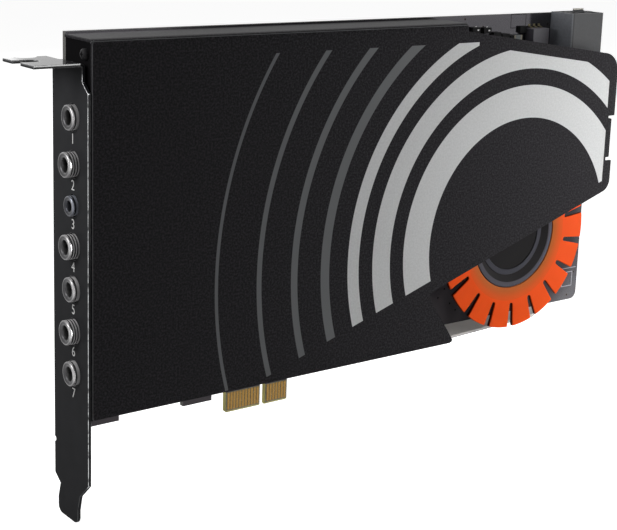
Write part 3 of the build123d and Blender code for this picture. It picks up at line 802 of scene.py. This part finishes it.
class SOUND_CARD_OT_board(bpy.types.Operator):
    """Finishes the circuit board and its contacts, and adds the joints on the solder side"""

    bl_idname = "sound_card.board"
    bl_label = "Circuit board"

    # Packages with the columns and rows of chip capacitors behind each, and the distances between them.
    served = (
        ("audio_processor", 4, 4), ("bus_bridge", 3, 3), ("playback_converter", 2, 3),
        ("record_converter", 2, 3), ("headphone_amplifier", 2, 2),
        *((op_amp, 1, 2) for op_amp in numbered("op_amp", 4)),
    )
    column_pitch, row_pitch = 4.2, 2.6

    # Half a solder joint, from its foot to the tip of the lead, as (radius, height).
    joint_side = ((0.85, 0), (0.55, 0.22), (0.34, 0.62), (0.3, 0.95), (0, 1.05))

    def execute(self, context):
        colours = context.scene.card_colours
        dress(board_finish(colours), "circuit_board")
        dress(metal_finish("contact_gold", colours.gold, 0.22, 0.5), "front_contacts", "back_contacts")
        tin = metal_finish("solder_tin", colours.tin, 0.25, 0.4)
        joint = turned([(radius, 0, height) for radius, height in self.joint_side], Vector(), UP, 12)
        places = [standing(BACK, RIGHT, (x, board_high.y, z)) for x, z in self.joint_spots()]
        make_piece("solder_joints", repeated(joint, places), tin, "pin_metal")
        ceramic = ceramic_finish(
            "back_ceramic", ((0.24, 0.17, 0.10), (0.32, 0.24, 0.15)), colours.tin, 0.4,
            lambda finish, spot: finish.stored("tinned"))
        make_piece("back_passives", repeated(self.chip(), self.back_places()), ceramic, "ceramic_chip")
        return {"FINISHED"}

    def joint_spots(self):
        """Where leads come through to the solder side, as (along the card, up)."""
        socket_columns, inset = (10.5, 14.5, 18.5), 2.0
        relay_inset, relay_second = 1.5, 5.0
        capacitor_half, inlet_start, inlet_pitch = 1.8, (2.8, 3.0), 4.2
        spots = []
        for node in numbered("socket_housing", 7):
            low, high = box_mm(node)
            spots += [(x, z) for x in socket_columns for z in (low.z + inset, high.z - inset)]
        for node in numbered("relay", 3):
            low, high = box_mm(node)
            heights = (low.z + inset, low.z + relay_second, high.z - inset)
            spots += [(x, z) for x in (low.x + relay_inset, high.x - relay_inset) for z in heights]
        for node in numbered("film_capacitor", 4) + numbered("capacitor", 2):
            low, high = box_mm(node)
            middle = (low + high) / 2
            spots += [(middle.x + side * capacitor_half, middle.z) for side in (-1, 1)]
        low = box_mm("power_inlet")[0]
        spots += [
            (low.x + inlet_start[0] + inlet_pitch * column, low.z + inlet_start[1] + inlet_pitch * row)
            for column in range(3) for row in range(2)
        ]
        return spots

    def chip(self):
        """A chip capacitor that lies on z = 0, with plated ends."""
        # The body and the two ends: shift, length, thickness and whether it is plated.
        blocks = ((0, 1.1, 0.5, 0.0), (-0.7, 0.35, 0.56, 1.0), (0.7, 0.35, 0.56, 1.0))
        chip = bmesh.new()
        tinned = chip.faces.layers.float.new("tinned")
        for shift, length, thick, plated in blocks:
            made = bmesh.ops.create_cube(chip, size=1.0)
            bmesh.ops.scale(chip, vec=(length, 0.5 + thick / 2, thick), verts=made["verts"])
            bmesh.ops.translate(chip, vec=(shift, 0, thick / 2), verts=made["verts"])
            for face in {face for vert in made["verts"] for face in vert.link_faces}:
                face[tinned] = plated
        return chip

    def back_places(self):
        """Where chip capacitors lie on the solder side, behind the packages that they serve."""
        places = []
        for node, columns, rows in self.served:
            low, high = box_mm(node)
            middle = (low + high) / 2
            for column in range(columns):
                for row in range(rows):
                    x = middle.x + self.column_pitch * (column - (columns - 1) / 2)
                    z = middle.z + self.row_pitch * (row - (rows - 1) / 2)
                    right = RIGHT if (column + row) % 2 else UP
                    places.append(standing(BACK, right, (x, board_high.y, z)))
        return places


class SOUND_CARD_OT_sockets(bpy.types.Operator):
    """Makes the ringed sleeves of the sockets, finishes their insides and prints plain numbers"""

    bl_idname = "sound_card.sockets"
    bl_label = "Sockets"

    # The bores' share of a full and of a small sleeve, how much lower a small one is, and its tint.
    full_bore, small_bore, small_by, small_tint = 0.5625, 0.5, 0.2, (0.44, 0.47, 0.54)
    # Grooves round a sleeve: the first one's place behind the front, their pitch, width, depth and slope.
    groove_start, groove_pitch, groove_width, groove_depth, groove_slope = 0.62, 0.72, 0.36, 0.34, 0.1
    # The side on which a painted glint lies on a sleeve, as shares of depth and height.
    glint_side = Vector((0, -0.9, 0.43))

    def execute(self, context):
        sizes, colours = context.scene.card_sizes, context.scene.card_colours
        chrome = sleeve_finish("sleeve_chrome", colours.chrome)
        tinted = [part * tint for part, tint in zip(colours.chrome, self.small_tint)]
        dull = sleeve_finish("sleeve_dull", tinted)
        sleeves = numbered("socket_sleeve", 7)
        heights = [box_mm(node)[1].z - box_mm(node)[0].z for node in sleeves]
        for node, height in zip(sleeves, heights):
            small = height < max(heights) - self.small_by
            shape = self.sleeve(node, self.small_bore if small else self.full_bore)
            make_piece(node + "_ringed", shape, dull if small else chrome, "chrome_sleeve", node)
        black = plastic_finish("socket_black", (0.014, 0.014, 0.015), 0.45, 0.8)
        dress(black, *numbered("socket_housing", 7))
        dress(metal_finish("spring_silver", colours.tin, 0.2, 0.5), "socket_springs")
        ink = plastic_finish("number_ink", (0.62, 0.62, 0.62), 0.5, 0.6, 0.004, 1.05)
        make_piece("socket_numbers", self.numbers(sleeves, sizes.number_height / MM), ink, "black_bracket")
        return {"FINISHED"}

    def sleeve(self, node, bore_share):
        """A sleeve with a rounded lip and grooves as far as the bracket; its faces carry their polish and
        painted light.
        """
        low, high = box_mm(node)
        centre = (low + high) / 2
        radius = (high.z - low.z) / 2
        bore = radius * bore_share
        front = low.x
        profile = [
            (high.x, bore), (front + 1.7, bore), (front + 0.5, bore), (front + 0.2, bore + 0.16),
            (front + 0.05, bore + 0.5), (front, radius - 0.42), (front + 0.02, radius - 0.22),
            (front + 0.14, radius - 0.06), (front + 0.34, radius),
        ]
        groove, slope, width = front + self.groove_start, self.groove_slope, self.groove_width
        while groove + width + slope < bracket_face:
            profile += [
                (groove, radius), (groove + slope, radius - self.groove_depth),
                (groove + width - slope, radius - self.groove_depth), (groove + width, radius),
            ]
            groove += self.groove_pitch
        profile += [(high.x, radius), (high.x, bore)]
        points = [(along, centre.y, centre.z + reach) for along, reach in profile]
        shape = turned(points, centre, RIGHT, 56)
        polish = shape.faces.layers.float.new("polish")
        for face in shape.faces:
            spot = face.calc_center_median() - centre
            reach = math.hypot(spot.y, spot.z)
            glint = max(0.0, self.glint_side.dot(spot) / reach) ** 4
            face[polish] = self.polish(spot.x + centre.x - front, reach - bore, radius - reach, glint)
        return shape

    def polish(self, depth, from_bore, from_rim, glint):
        """How bright a face is painted, by its depth behind the front, its place in the wall and its glint:
        painted highlights on the glint side and the bands, painted shade deep in the bore and in the grooves.
        """
        mouth_depth, lip_depth = 1.6, 0.4
        bore_skin, inner_lip, outer_lip, groove_skin = 0.02, 0.45, 0.33, 0.1
        if from_bore < bore_skin:
            return 0.15 if depth < mouth_depth else 0.03
        if depth < lip_depth and from_bore < inner_lip:
            return 0.05 + 0.95 * glint
        if depth < lip_depth:
            return 0.03 + 0.2 * glint if from_rim > outer_lip else 0.14 + 0.6 * glint
        if from_rim > groove_skin:
            return 0.03 + 0.15 * glint
        return 0.88 + 0.12 * glint if depth < self.groove_start else 0.88

    def numbers(self, sleeves, height):
        """Plain numbers under the sockets, raised by the thickness of the ink."""
        capital_share, gap, ink = 0.7, 0.75, 0.02
        joined = bmesh.new()
        for number, node in enumerate(sleeves, 1):
            low, high = box_mm(node)
            letters = bpy.data.curves.new("number", "FONT")
            letters.body = str(number)
            letters.size = height / capital_share
            letters.align_x = "CENTER"
            carrier = bpy.data.objects.new("number", letters)
            bpy.context.scene.collection.objects.link(carrier)
            bpy.context.view_layer.update()
            flat = bpy.data.meshes.new_from_object(carrier)
            bpy.data.objects.remove(carrier)
            place = (bracket_face - ink, (low.y + high.y) / 2, low.z - gap - height)
            add_mesh(joined, flat, standing(-RIGHT, -BACK, place))
            bpy.data.meshes.remove(flat)
        bmesh.ops.remove_doubles(joined, verts=joined.verts, dist=0.0005)
        return joined


class SOUND_CARD_OT_disc(bpy.types.Operator):
    """Makes the slotted light disc and its hub"""

    bl_idname = "sound_card.disc"
    bl_label = "Light disc"

    # The hub's steps: its shoulder under the disc, its rim, its cone and the ring at the cone's foot.
    shoulder_width, rim_width, cone_width, foot_width = 1.8, 1.6, 2.2, 1.5
    cone_depth, foot_depth, floor_depth = 1.3, 1.15, 1.4

    def execute(self, context):
        sizes, colours = context.scene.card_sizes, context.scene.card_colours
        ring = softened("light_disc", sizes.plastic_round)
        make_piece("light_ring", ring, disc_finish(colours), "orange_disc", "light_disc")
        low, high = box_mm("disc_hub")
        outer = (high.x - low.x) / 2
        rim = outer - self.shoulder_width
        cone = rim - self.rim_width
        floor = cone - self.cone_width
        profile = [
            (0, high.y), (outer, high.y), (outer, disc_high.y), (rim, disc_high.y),
            (rim, low.y + 0.15), (rim - 0.15, low.y), (cone + 0.12, low.y), (cone, low.y + 0.1),
            (floor + 0.1, low.y + self.cone_depth), (floor, low.y + self.foot_depth),
            (floor - self.foot_width, low.y + self.foot_depth),
            (floor - self.foot_width - 0.15, low.y + self.floor_depth), (0, low.y + self.floor_depth),
        ]
        points = [(disc_centre.x + reach, depth, disc_centre.z) for reach, depth in profile]
        drum = turned(points, disc_centre, BACK, 96)
        make_piece("hub_drum", drum, hub_finish(cone, floor), "hub_plastic", "disc_hub")
        return {"FINISHED"}


class SOUND_CARD_OT_inlet(bpy.types.Operator):
    """Makes the power inlet, its pins and the small parts beside it"""

    bl_idname = "sound_card.inlet"
    bl_label = "Power inlet"

    # Small packages that show over the cover's slanting top edge: their middles along the card and their
    # tops, their size, their edges' rounding and their gap to the board.
    edge_row = ((145.0, 3.85), (149.6, 3.6), (153.8, 2.1), (157.5, 1.5), (161.2, 0.85))
    edge_size, edge_round, edge_gap = Vector((3.2, 1.1, 1.8)), 0.12, 0.02
    # Those at the row's start have a lead in view, a little right of their middle.
    leaded, lead_shift = 2, 0.5
    relay_lead_pitch = 2.1

    def execute(self, context):
        sizes, colours = context.scene.card_sizes, context.scene.card_colours
        low, high = box_mm("power_inlet")
        key_highlight_depth = 0.4
        block = softened("power_inlet", sizes.plastic_round)
        finish = inlet_finish(colours, low.x, high.z - key_highlight_depth)
        make_piece("inlet_block", block, finish, "inlet_plastic", "power_inlet")
        tin = metal_finish("inlet_tin", colours.tin, 0.2, 0.5)
        dress(tin, "power_pins")
        self.relay(sizes)
        self.neighbours(colours)
        self.edge_parts(colours, tin)
        return {"FINISHED"}

    def relay(self, sizes):
        """The relay beside the inlet, with its row of leads."""
        body = softened("power_relay", sizes.plastic_round)
        grey = plastic_finish("relay_grey", (0.060, 0.056, 0.068), 0.45, 0.8)
        make_piece("power_relay_body", body, grey, "relay_plastic", "power_relay")
        low, high = box_mm("power_relay")
        columns = [(low.x + high.x) / 2 + self.relay_lead_pitch * step for step in (-1, 0, 1)]
        places = [standing(-BACK, UP, (x, board_low.y, high.z)) for x in columns]
        dulled = metal_finish("lead_dulled", (0.15, 0.135, 0.082), 0.35, 0.5)
        make_piece("power_relay_leads", repeated(lead_shape(0.9, 1.2), places), dulled, "pin_metal")

    def neighbours(self, colours):
        """The finishes of the ceramic capacitor and the transistor."""
        low, high = box_mm("ceramic_capacitor")
        middle, body_half = (low.x + high.x) / 2, (high.x - low.x) * 0.3
        grey, end_tone = (0.10, 0.12, 0.12), (0.20, 0.18, 0.15)
        tipped = ceramic_finish(
            "ceramic_tipped", (grey, shaded(grey, 0.8)), end_tone, 0.6,
            lambda finish, spot: (abs(finish.axes(spot)[0] - middle) - body_half).edge())
        dress(tipped, "ceramic_capacitor")
        black = plastic_finish("transistor_black", shaded(colours.chip_black, 0.4), 0.5, 0.7, gloss=0.08)
        dress(black, "transistor")

    def edge_parts(self, colours, tin):
        """The row of small packages and the leads in view."""
        block = bmesh.new()
        bmesh.ops.create_cube(block, size=1.0)
        bmesh.ops.scale(block, vec=self.edge_size, verts=block.verts)
        bmesh.ops.bevel(
            block, geom=block.edges[:], offset=self.edge_round, offset_type="OFFSET", affect="EDGES",
            segments=2, profile=0.5, material=-1)
        half = self.edge_size / 2
        depth = board_low.y - half.y - self.edge_gap
        places = [Matrix.Translation((x, depth, top - half.z)) for x, top in self.edge_row]
        black = plastic_finish("edge_black", shaded(colours.chip_black, 0.4), 0.5, 0.5, gloss=0.08)
        make_piece("edge_packages", repeated(block, places), black, "chip_plastic")
        places = [
            standing(-BACK, UP, (x + self.lead_shift, board_low.y, top - half.z))
            for x, top in self.edge_row[:self.leaded]
        ]
        make_piece("edge_leads", repeated(lead_shape(0.7, 1.25), places), tin, "pin_metal")


class SOUND_CARD_OT_packages(bpy.types.Operator):
    """Finishes the parts under the cover and adds the packages' leads"""

    bl_idname = "sound_card.packages"
    bl_label = "Parts under the cover"

    # Packages with leads on four sides and on two, the pitches of those leads and the bare ends of a row.
    quads = ("audio_processor", "bus_bridge")
    duals = ("playback_converter", "record_converter", "headphone_amplifier", *numbered("op_amp", 4))
    quad_pitch, dual_pitch, bare_ends = 0.8, 1.27, 1.2

    def execute(self, context):
        colours = context.scene.card_colours
        moulded = plastic_finish("package_black", colours.chip_black, 0.45, 0.5)
        dress(moulded, *self.quads, *self.duals, *numbered("regulator", 2))
        dress(plastic_finish("relay_cream", (0.50, 0.47, 0.38), 0.4, 0.8, 0.01, 1.1), *numbered("relay", 3))
        dress(plastic_finish("film_red", (0.33, 0.03, 0.02), 0.4, 0.8), *numbered("film_capacitor", 4))
        dress(metal_finish("can_sleeve", (0.33, 0.30, 0.22), 0.3, 1.0), *numbered("capacitor", 2))
        dress(metal_finish("oscillator_steel", (0.52, 0.52, 0.50), 0.28, 0.8), *numbered("oscillator", 2))
        dress(plastic_finish("coil_ferrite", (0.04, 0.04, 0.042), 0.6, 0.4, 0.03), *numbered("coil", 2))
        dress(plastic_finish("chip_ceramic", (0.26, 0.19, 0.12), 0.5, 0.4), "chip_passives")
        tin = metal_finish("lead_tin", colours.tin, 0.22, 0.4)
        places = []
        for node in self.quads:
            places += self.row_places(node, (RIGHT, -RIGHT, UP, -UP), self.quad_pitch)
        for node in self.duals:
            places += self.row_places(node, (RIGHT, -RIGHT), self.dual_pitch)
        make_piece("package_leads", repeated(lead_shape(0.32, 0.62), places), tin, "pin_metal")
        return {"FINISHED"}

    def row_places(self, node, sides, pitch):
        """Where the leads stand along the given sides of a package."""
        low, high = box_mm(node)
        middle = (low + high) / 2
        places = []
        for out in sides:
            along = (-BACK).cross(out)
            length = abs((high - low).dot(along))
            edge = abs((high - low).dot(out)) / 2
            count = int((length - self.bare_ends) / pitch) + 1
            for number in range(count):
                spot = middle + out * edge + along * pitch * (number - (count - 1) / 2)
                spot.y = board_low.y
                places.append(standing(-BACK, out, spot))
        return places


class SOUND_CARD_OT_screws(bpy.types.Operator):
    """Makes the cross-headed screws that hold bracket, cover and hub to the board"""

    bl_idname = "sound_card.screws"
    bl_label = "Screws"

    # Screws on the covered side and on the solder side, as (along the card, up).
    front_spots = ((15.0, -92.26), (15.0, -5.4))
    back_spots = ((19.1, 1.94), (119.1, 1.94), (37.1, -85.2), (111.1, -85.2), disc_middle)
    # The screw in the cover's end lug: its depth in the lug, its distance from face and flange, and its
    # share of a full head.
    lug_inset, lug_setback, lug_share = 0.4, 3.9, 0.66

    def execute(self, context):
        sizes, colours = context.scene.card_sizes, context.scene.card_colours
        radius = sizes.screw_head / MM
        steel = metal_finish("screw_blackened", (0.10, 0.10, 0.11), 0.3, 0.5, 0.3)
        places = [standing(-BACK, RIGHT, (x, board_low.y, z)) for x, z in self.front_spots]
        places += [standing(BACK, RIGHT, (x, board_high.y, z)) for x, z in self.back_spots]
        make_piece("board_screws", repeated(self.head(radius), places), steel, "pin_metal")
        lug_hole = (
            cover_low.x + self.lug_inset, cover_low.y + self.lug_setback, cover_high.z - self.lug_setback)
        black = plastic_finish("screw_painted", shaded(colours.coat_black, 0.35), 0.5, 0.5, gloss=0.1)
        head = repeated(self.head(radius * self.lug_share), [standing(-RIGHT, BACK, lug_hole)])
        make_piece("cover_side_screw", head, black, "black_cover")
        return {"FINISHED"}

    def head(self, radius):
        """A pan head with a cross recess, standing on z = 0."""
        height, recess_depth, recess_taper = 1.25, 0.7, 0.7
        rim, arm, half = radius * 0.62, radius * 0.46, radius * 0.12
        profile = [(radius, 0, 0), (radius, 0, 0.45), (radius * 0.9, 0, 0.95), (rim, 0, height)]
        shape = turned(profile, Vector(), UP, 32)
        cross = []
        for quarter in range(4):
            turn = Matrix.Rotation(quarter * math.pi / 2, 3, "Z")
            for corner in ((arm, -half, height), (arm, half, height), (half, half, height)):
                cross.append(shape.verts.new(turn @ Vector(corner)))
        recess = [shape.edges.new(pair) for pair in zip(cross, cross[1:] + cross[:1])]
        top = [edge for edge in shape.edges if edge.is_boundary and edge.verts[0].co.z > height - 0.05]
        bmesh.ops.triangle_fill(shape, use_beauty=True, edges=top + recess)
        walls = bmesh.ops.extrude_edge_only(shape, edges=recess)["geom"]
        floor = [part for part in walls if isinstance(part, bmesh.types.BMVert)]
        bmesh.ops.translate(shape, vec=(0, 0, -recess_depth), verts=floor)
        bmesh.ops.scale(shape, vec=(recess_taper, recess_taper, 1), verts=floor)
        bmesh.ops.holes_fill(shape, edges=[edge for edge in shape.edges if edge.is_boundary])
        bmesh.ops.recalc_face_normals(shape, faces=shape.faces)
        return shape


class SOUND_CARD_OT_stage(bpy.types.Operator):
    """Sets the floor, the lamps, the room's light and the camera"""

    bl_idname = "sound_card.stage"
    bl_label = "Stage"

    # Name, place, target, width, height, power, spread in degrees, and the reflections that it lights.
    lamps = (
        ("right_strip", (0.30, -0.10, -0.025), (0.17, -0.006, -0.03), 0.10, 0.20, 0.245, 110, "dull"),
        ("side_slit", (0.60, 0.0012, 0.03), (0.15, 0.0012, -0.089), 0.012, 0.10, 0.11, 40, "dull"),
        ("front_gleam", (0.147, -0.264, -0.03), (0.0, 0.0, -0.04), 0.10, 0.30, 1.0, 180, "shiny"),
        ("top_soft", (0.10, 0.12, 0.70), (0.10, 0.0, -0.04), 0.80, 0.60, 1.3, 180, "both"),
        ("left_soft", (-0.12, 0.012, 0.05), (0.006, 0.003, -0.02), 0.08, 0.08, 0.16, 180, "both"),
        ("back_soft", (0.05, 0.75, 0.28), (0.10, 0.01, -0.05), 0.70, 0.60, 2.0, 180, "both"),
    )
    # The floor's half width, the middle of the card over it, its tone, and how white it looks.
    floor_size, floor_middle, floor_tone, floor_glow = 3.0, 0.1, (0.70, 0.70, 0.70), 0.9
    white = (1.0, 1.0, 1.0)

    def execute(self, context):
        stage = context.scene.card_stage
        context.scene.view_settings.view_transform = "Standard"
        self.lay_floor(stage)
        for lamp in self.lamps:
            self.hang(*lamp)
        self.light_room(stage.sky)
        self.set_camera(stage)
        return {"FINISHED"}

    def lay_floor(self, stage):
        """A plain pale floor that keeps the shadow."""
        place = (self.floor_middle, 0, cad_box[0][2] - stage.floor_drop)
        shape = bmesh.new()
        bmesh.ops.create_grid(shape, x_segments=1, y_segments=1, size=self.floor_size)
        bmesh.ops.translate(shape, vec=place, verts=shape.verts)
        mesh = bpy.data.meshes.new("floor")
        shape.to_mesh(mesh)
        shape.free()
        floor = bpy.data.objects.new("floor", mesh)
        bpy.context.scene.collection.objects.link(floor)
        finish = Finish("floor_paper", {
            "Roughness": 0.9, "Specular IOR Level": 0.0,
            "Base Color": self.floor_tone, "Emission Color": self.white})
        finish.set("Emission Strength", finish.seen() * self.floor_glow)
        mesh.materials.append(finish.material)

    def hang(self, name, place, target, width, height, power, spread, lights):
        """Hangs a soft lamp that the camera doesn't see."""
        data = bpy.data.lights.new(name, "AREA")
        data.shape = "RECTANGLE"
        data.size, data.size_y, data.energy = width, height, power
        data.spread = math.radians(spread)
        lamp = bpy.data.objects.new(name, data)
        lamp.location = place
        lamp.rotation_euler = (Vector(target) - Vector(place)).to_track_quat("-Z", "Y").to_euler()
        lamp.visible_camera = False
        lamp.visible_glossy = lights != "dull"
        lamp.visible_diffuse = lights != "shiny"
        bpy.context.scene.collection.objects.link(lamp)

    def light_room(self, sky):
        """A room that looks white and gives only a little light."""
        world = bpy.data.worlds.new("studio")
        world.use_nodes = True
        bpy.context.scene.world = world
        nodes = Nodes(world.node_tree)
        room = world.node_tree.nodes["Background"]
        nodes.feed(room.inputs["Color"], self.white)
        nodes.feed(room.inputs["Strength"], nodes.seen() * (1.0 - sky) + sky)

    def set_camera(self, stage):
        """Puts the camera where the photograph was taken from."""
        data = bpy.data.cameras.new("camera")
        data.sensor_width = 36.0
        data.sensor_fit = "HORIZONTAL"
        data.lens = stage.camera_lens
        data.shift_y = stage.camera_shift
        data.clip_start = 0.01
        camera = bpy.data.objects.new("camera", data)
        turn = (
            Matrix.Rotation(-stage.camera_turn, 4, "Z")
            @ Matrix.Rotation(math.pi / 2 - stage.camera_pitch, 4, "X")
            @ Matrix.Rotation(stage.camera_roll, 4, "Z")
        )
        camera.matrix_world = Matrix.Translation(stage.camera_place) @ turn
        bpy.context.scene.collection.objects.link(camera)
        bpy.context.scene.camera = camera


steps = (
    SOUND_CARD_OT_cover,
    SOUND_CARD_OT_bracket,
    SOUND_CARD_OT_board,
    SOUND_CARD_OT_sockets,
    SOUND_CARD_OT_disc,
    SOUND_CARD_OT_inlet,
    SOUND_CARD_OT_packages,
    SOUND_CARD_OT_screws,
    SOUND_CARD_OT_stage,
)


class VIEW3D_PT_sound_card(bpy.types.Panel):
    """Lists the pieces of the card with their sizes and colours"""

    bl_label = "Sound Card"
    bl_space_type = "VIEW_3D"
    bl_region_type = "UI"
    bl_category = "Sound Card"

    def draw(self, context):
        for step in steps:
            self.layout.operator(step.bl_idname)
        for group in (context.scene.card_sizes, context.scene.card_colours, context.scene.card_stage):
            for name in group.__annotations__:
                self.layout.prop(group, name)


groups = {"card_sizes": CardSizes, "card_colours": CardColours, "card_stage": CardStage}


def register():
    for name, group in groups.items():
        bpy.utils.register_class(group)
        setattr(bpy.types.Scene, name, bpy.props.PointerProperty(type=group))
    for step in (*steps, VIEW3D_PT_sound_card):
        bpy.utils.register_class(step)


def unregister():
    for step in (*steps, VIEW3D_PT_sound_card):
        bpy.utils.unregister_class(step)
    for name, group in groups.items():
        delattr(bpy.types.Scene, name)
        bpy.utils.unregister_class(group)


def main():
    register()
    bpy.ops.sound_card.cover()
    bpy.ops.sound_card.bracket()
    bpy.ops.sound_card.board()
    bpy.ops.sound_card.sockets()
    bpy.ops.sound_card.disc()
    bpy.ops.sound_card.inlet()
    bpy.ops.sound_card.packages()
    bpy.ops.sound_card.screws()
    bpy.ops.sound_card.stage()


if __name__ == "__main__":
    main()
